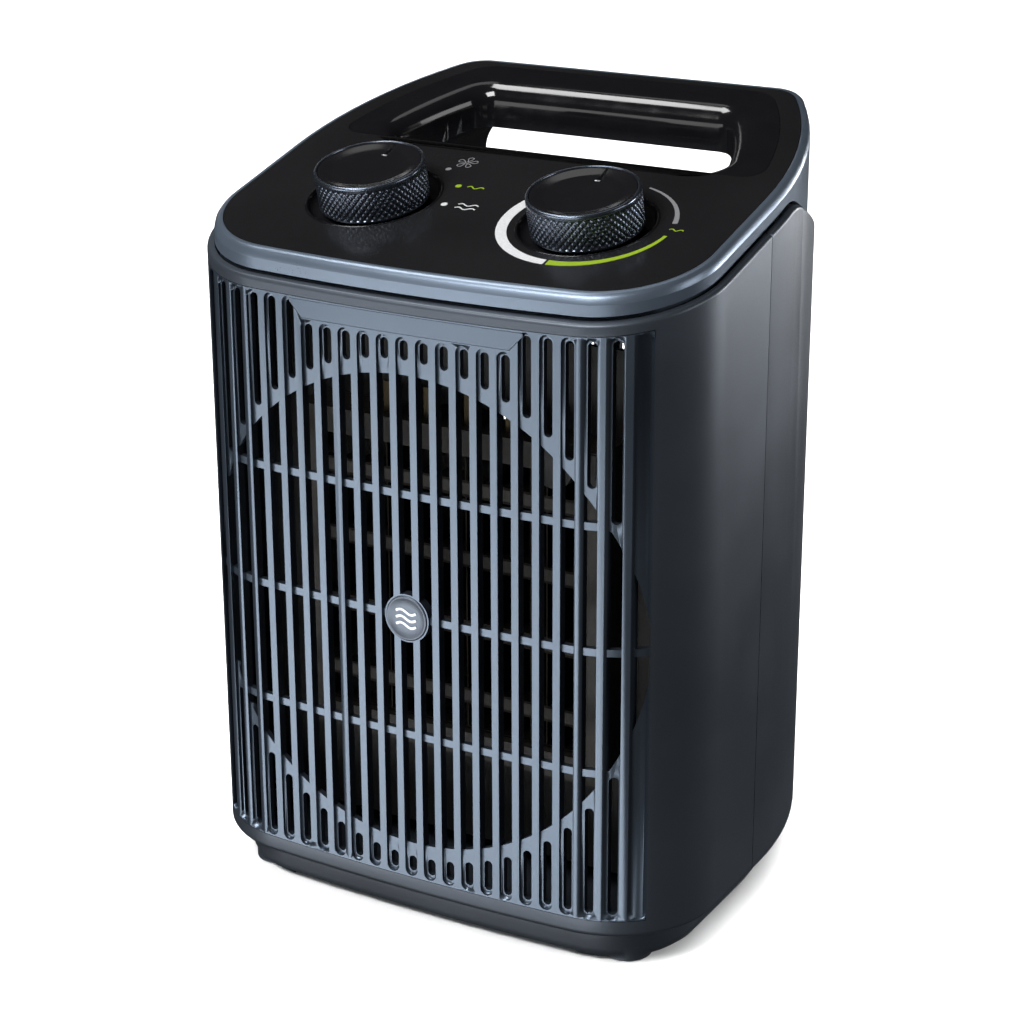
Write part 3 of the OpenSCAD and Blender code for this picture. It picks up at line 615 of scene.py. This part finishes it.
class HEATER_OT_knobs(bpy.types.Operator):
    """Knurled grips, sunk black caps, bright pointer tips and the glossy dishes"""

    bl_idname = "heater.knobs"
    bl_label = "Knobs"

    def execute(self, context):
        f = finishes()
        sizes = context.scene.heater_sizes
        r, top = KNOB_R, KNOB_TOP
        turns = sizes.knurl_count
        low, high = -0.0006, top - 0.0018
        steps = int(round((high - low) / (sizes.knurl_pitch / 8)))
        band = np.linspace(low, high, steps + 1)

        def knurl(a, h, radius):
            """Diamond crests between two crossing sets of helical grooves:
            depth = (1 - the lesser of |2 frac(u) - 1| and |2 frac(v) - 1|), u and v = turns a / 2 pi +/- h / pitch,
            with the crest cut flat above three quarters, faded out towards the band's two ends."""
            u = turns * a / (2 * math.pi) + h / sizes.knurl_pitch
            v = turns * a / (2 * math.pi) - h / sizes.knurl_pitch
            crest = np.minimum(np.abs(2 * (u % 1) - 1), np.abs(2 * (v % 1) - 1))
            crest = np.minimum(crest * 1.35, 1)
            fade = np.clip((h - low) / 0.0004, 0, 1) * np.clip((high - h) / 0.0004, 0, 1)
            return np.where(radius > r - 0.00002, -sizes.knurl_depth * (1 - crest) * fade, 0.0)

        for side, centre, body in (("selector", LEFT, "selector"), ("thermostat", RIGHT, "thermostat")):
            inner = np.array([(0.00303, -0.0009), (0.0056, -0.0009), (0.0056, 0.0074), (r - 0.0024, 0.0074), (r - 0.0022, -0.0015)])
            foot = arc(r - 0.0006, -0.0010, 0.0005, -90, -10, 5)
            wall = np.stack([np.full(len(band), r), band], -1)
            shoulder = arc(r - 0.0008, top - 0.0008, 0.0008, 0, 90, 9)
            lip = np.array([(r - 0.00105, top - 0.00004), (r - 0.0012, top - 0.00018), (r - 0.00125, top - 0.00245), (0.00303, top - 0.00245), (0.00303, -0.0009)])
            profile = np.concatenate([inner, foot, wall, shoulder, lip])
            grip = lathe(side + "_grip", profile, centre, [f["grip"]], count=turns * 8, lift=knurl, smooth=46.0)
            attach(grip, body)
            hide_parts(side + "_knob")

            edge = r - 0.00135
            flat = top - 0.0013
            # more samples where the pointer's notch is
            angles = np.concatenate(
                [np.linspace(math.radians(99), math.radians(441), 150, endpoint=False), np.radians(np.linspace(81, 99, 60, endpoint=False))]
            )
            disc = [(x, flat) for x in (0.0, 0.004, 0.0085, 0.0093, 0.0096, 0.0099, 0.0105, 0.0113, 0.0121, 0.0129)]
            slope = [(r - 0.0060, flat - 0.00001), (r - 0.0056, flat + 0.00006), (r - 0.0049, top - 0.00108),
                     (r - 0.0040, top - 0.00084), (r - 0.0030, top - 0.00058), (r - 0.0022, top - 0.00037)]
            brow = [(edge - 0.0003, top - 0.00025), (edge - 0.0001, top - 0.00028), (edge, top - 0.0004), (edge, top - 0.0024), (0.0, top - 0.0024)]

            def notch(a, h, radius):
                """A groove pointing up the slope, 0.8 mm deep, widest at its inner end and closing to a point at the rim:
                depth = 0.8 (1 - (x / w)^2), w falling in a straight line from 1.1 at radius 9.6 to 0.2 at the rim."""
                x = radius * np.cos(a)
                width = np.interp(radius, [0.0096, edge], [0.0011, 0.0002])
                inside = (np.sin(a) > 0) & (radius > 0.0095) & (radius < edge - 0.0002) & (np.abs(x) < width)
                inside &= h > top - 0.0020
                return np.where(inside, 0.0008 * (1 - (x / width) ** 2), 0.0)

            cap = lathe(
                side + "_cap", np.array(disc + slope + brow), centre, [f["cap"]], drop=notch, angles=angles, smooth=34.0
            )
            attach(cap, body)
            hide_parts(side + "_knob_cap")
            tip = pebble(side + "_pointer_tip", (0.0, 0.0098, flat - 0.00005), (0.00100, 0.00034, 0.00026), 0.45, f["tip"], centre)
            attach(tip, body)

            d = size_of(side + "_dish")[0] / 2
            bowl = arc(d - 0.0046, 0.0006, 0.0040, -88, -28, 12)
            dish = np.concatenate(
                [
                    [(0.0048, -0.0034), (0.0048, -0.0054), (d - 0.0016, -0.0054), (d - 0.0016, -0.0022), (d, -0.0022)],
                    arc(d - 0.00025, -0.0001, 0.00025, 0, 90, 5),
                    arc(d - 0.0006, -0.0001, 0.00025, 90, 150, 4),
                    bowl[::-1],
                    [(0.0048, -0.0034)],
                ]
            )
            bowl_piece = lathe(side + "_dish_gloss", dish, centre, [f["dish"]], count=144, smooth=38.0)
            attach(bowl_piece, "housing")
            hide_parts(side + "_dish")
        return {"FINISHED"}


class HEATER_OT_marks(bpy.types.Operator):
    """Printed dots, fan and warmth signs, and the thermostat's scale"""

    bl_idname = "heater.marks"
    bl_label = "Printed Marks"

    def execute(self, context):
        f = finishes()
        out = context.scene.heater_sizes.scale_radius

        def dot(name, x, s, r, ink_of):
            """Round dot of ink."""
            at = on_deck(x, s, 0.0, LEFT)
            o = lathe(name, [(0, 0.00008), (r, 0.00008), (r, -0.00005), (0, -0.00005)], at, [ink_of], count=40)
            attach(o, "housing")

        dot("cool_dot", 0.01512, 0.02485, 0.00105, f["grey"])
        dot("low_dot", 0.02560, 0.01374, 0.00112, f["green"])
        dot("high_dot", 0.02790, 0.0, 0.00118, f["white"])
        blades = [
            ribbon(petal(0.0192, 0.0310, 0.0024, 0.00145, 0.00085, math.radians(18 + 72 * k)), 0.00030, closed=True)
            for k in range(5)
        ]
        hub = ribbon(arc(0.0192, 0.0310, 0.0006, 0, 352.5, 48), 0.00025, closed=True)
        printed("cool_fan_sign", blades + [hub], LEFT, f["grey"], closed=True)
        printed("low_heat_sign", [ribbon(wave(0.0323, 0.0138, 0.0064, 0.00070, 1.5), 0.00048)], LEFT, f["green"])
        printed(
            "high_heat_sign",
            [ribbon(wave(0.0366, s, 0.0078, 0.00062, 1.5), 0.00048) for s in (-0.0013, 0.0013)],
            LEFT, f["white"],
        )

        def swept(name, a0, a1, w0, w1, ink_of, n=90):
            """Part of the scale: an arc of outer radius out whose width runs from w0 to w1."""
            a = np.radians(np.linspace(a0, a1, n))
            w = np.linspace(w0, w1, n)
            way = np.stack([np.cos(a), np.sin(a)], -1)
            printed(name, [(way * out, way * (out - w)[:, None])], RIGHT, ink_of)

        swept("scale_fine", 73, 13, 0.0007, 0.0018, f["grey"])
        swept("scale_green", -4, -89, 0.0012, 0.0031, f["green"])
        swept("scale_white", -91, -212, 0.0031, 0.0044, f["white"])
        printed("scale_low_sign", [ribbon(wave(0.0313, 0.0024, 0.0050, 0.00055, 1.5), 0.00042)], RIGHT, f["green"])
        return {"FINISHED"}


class HEATER_OT_inside(bpy.types.Operator):
    """Finishes of the parts inside the case and below it; the heater's mica frame, ceramics, fins and brass tabs are
    painted near black as painted shade for the inside of the case
    """

    bl_idname = "heater.inside"
    bl_label = "Inside"

    def execute(self, context):
        f = finishes()
        # the heater's mica frame, ceramics, fins and brass tabs take finishes painted near black as painted shade
        finish_key_of_part = {
            "selector_switch": "switch", "thermostat_switch": "steatite", "selector_shaft": "steel", "thermostat_shaft": "steel",
            "shaft_nuts": "steel", "case_screws": "steel", "motor_shaft": "steel", "thermal_cutout": "switch",
            "air_duct": "duct", "motor_bracket": "inside", "fan_impeller": "inside", "heater_frame": "mica",
            "heater_ceramics": "stone", "heater_fins": "fins", "heater_terminals": "brass", "fan_motor": "motor",
            "terminal_block": "block", "cord_gland": "rubber", "rubber_feet": "rubber",
        }
        for node, finish in finish_key_of_part.items():
            slots = frame["nodes"][node].data.materials
            slots.clear()
            slots.append(f[finish])
        return {"FINISHED"}


class HEATER_OT_stage(bpy.types.Operator):
    """Pale floor, soft studio light and the camera"""

    bl_idname = "heater.stage"
    bl_label = "Stage"

    def execute(self, context):
        scene = context.scene
        m, tree, shader = finish_named("pale_floor")
        shader.inputs["Base Color"].default_value = (0.86, 0.86, 0.86, 1)
        shader.inputs["Roughness"].default_value = 0.7
        side = 6.0
        floor = surface(
            "floor", np.array([(-side, -side, 0), (side, -side, 0), (side, side, 0), (-side, side, 0)], float),
            [[0, 1, 2, 3]], [m], out=False,
        )
        # the floor is seen, but two low lamps alone stand for the light that it would send back up
        floor.visible_diffuse = floor.visible_glossy = floor.visible_shadow = False
        # a plain white wall all round: (cos u cos v, cos u sin v, sin u) times its radius, with no part in the lighting
        u = np.radians(np.linspace(-2, 90, 24))[:, None]
        v = np.linspace(0, 2 * math.pi, 64, endpoint=False)[None, :]
        ball = np.stack(np.broadcast_arrays(np.cos(u) * np.cos(v), np.cos(u) * np.sin(v), np.sin(u)), -1)
        pale, pale_tree, pale_shader = finish_named("pale_wall")
        pale_shader.inputs["Base Color"].default_value = (0, 0, 0, 1)
        pale_shader.inputs["Specular IOR Level"].default_value = 0.0
        pale_shader.inputs["Emission Color"].default_value = (1, 1, 1, 1)
        pale_shader.inputs["Emission Strength"].default_value = 1.0
        wall = surface("wall", 2.6 * ball, grid_faces(24, 64, wrap_cols=True), [pale], out=False)
        wall.visible_diffuse = wall.visible_glossy = wall.visible_shadow = False
        wall.visible_transmission = wall.visible_volume_scatter = False
        world = bpy.data.worlds.new("studio")
        scene.world = world
        world.use_nodes = True
        tree = world.node_tree
        back = tree.nodes["Background"]
        back.inputs["Color"].default_value = (1, 1, 1, 1)
        back.inputs["Strength"].default_value = 0.012
        scene.view_settings.view_transform = "Standard"

        def lamp(name, place, target, size, watts, tall=None, lights=None):
            """Soft rectangular lamp aimed at a point, for everything or for one object alone."""
            data = bpy.data.lights.new(name, "AREA")
            data.shape = "RECTANGLE"
            data.size, data.size_y, data.energy = size, tall or size, watts
            obj = bpy.data.objects.new(name, data)
            obj.location = place
            obj.rotation_euler = (Vector(target) - Vector(place)).to_track_quat("-Z", "Y").to_euler()
            obj.visible_camera = False
            scene.collection.objects.link(obj)
            if lights is not None:
                only = bpy.data.collections.new(name + "_lights")
                only.objects.link(lights)
                obj.light_linking.receiver_collection = only

        lamp("key", (-1.1, -1.4, 0.25), (0, 0, 0.12), 0.9, 3.5, 0.6)
        lamp("bounce_left", (-0.95, -1.35, -0.55), (0, 0, 0.12), 0.9, 10, 0.6)
        lamp("bounce_front", (0.0, -1.5, -0.6), (0, 0, 0.1), 0.9, 9.0, 0.6)
        lamp("brow", (-0.25, -1.1, 1.25), (0, 0, 0.22), 0.7, 21, 0.5)
        lamp("overhead", (-0.55, -0.14, 1.25), (0, 0.03, 0.25), 0.4, 5.0, 0.3)
        lamp("sky", (-0.28, 0.42, 1.6), (0, 0.05, 0.27), 0.8, 1.3, 0.45)
        lamp("horizon", (-1.0, 1.25, 0.55), (0, 0.05, 0.27), 1.2, 0.9, 0.3)
        lamp("side", (1.7, 0.1, 0.75), (0.05, 0.05, 0.10), 0.7, 5, 0.6)
        lamp("rear_side", (1.5, 1.3, 0.3), (0.05, 0.05, 0.08), 0.5, 18, 0.6)
        lamp("rear", (0.75, 1.9, 0.2), (0.05, 0.05, 0.05), 0.7, 12, 0.4)
        lamp("floor_wash", (0.2, 0.4, 3.2), (0, 0.4, 0), 4.0, 330, lights=floor)
        data = bpy.data.cameras.new("camera")
        data.sensor_width = 36.0
        data.lens = 89.18
        data.clip_start, data.clip_end = 0.05, 30
        camera = bpy.data.objects.new("camera", data)
        az, el, roll = math.radians(29.816), math.radians(20.016), math.radians(-0.21)
        back_way = Vector((math.sin(az) * math.cos(el), -math.cos(az) * math.cos(el), math.sin(el)))
        right = Vector((math.cos(az), math.sin(az), 0))
        up = back_way.cross(right)
        turn = Matrix((right, up, back_way)).transposed()
        camera.rotation_mode = "QUATERNION"
        camera.rotation_quaternion = (turn @ Matrix.Rotation(roll, 3, "Z")).to_quaternion()
        camera.location = (0.42255, -0.74676, 0.44285)
        scene.collection.objects.link(camera)
        scene.camera = camera
        return {"FINISHED"}


class HEATER_PT_sidebar(bpy.types.Panel):
    """Lists the heater's pieces, sizes and colours"""

    bl_idname = "HEATER_PT_sidebar"
    bl_label = "Fan Heater"
    bl_space_type = "VIEW_3D"
    bl_region_type = "UI"
    bl_category = "Heater"

    def draw(self, context):
        column = self.layout.column(align=True)
        for step in STEPS:
            column.operator(step.bl_idname)
        for group in (context.scene.heater_sizes, context.scene.heater_colours):
            column = self.layout.column()
            for key in group.__annotations__:
                column.prop(group, key)


STEPS = (
    HEATER_OT_stage,
    HEATER_OT_case,
    HEATER_OT_grille,
    HEATER_OT_top,
    HEATER_OT_knobs,
    HEATER_OT_marks,
    HEATER_OT_inside,
)
CLASSES = (HeaterSizes, HeaterColours, *STEPS, HEATER_PT_sidebar)


def register():
    for c in CLASSES:
        bpy.utils.register_class(c)
    bpy.types.Scene.heater_sizes = PointerProperty(type=HeaterSizes)
    bpy.types.Scene.heater_colours = PointerProperty(type=HeaterColours)


def unregister():
    del bpy.types.Scene.heater_sizes
    del bpy.types.Scene.heater_colours
    for c in reversed(CLASSES):
        bpy.utils.unregister_class(c)


def main():
    """Makes everything in order."""
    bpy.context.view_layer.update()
    register()
    for step in STEPS:
        group, name = step.bl_idname.split(".")
        getattr(getattr(bpy.ops, group), name)()


if __name__ == "__main__":
    main()
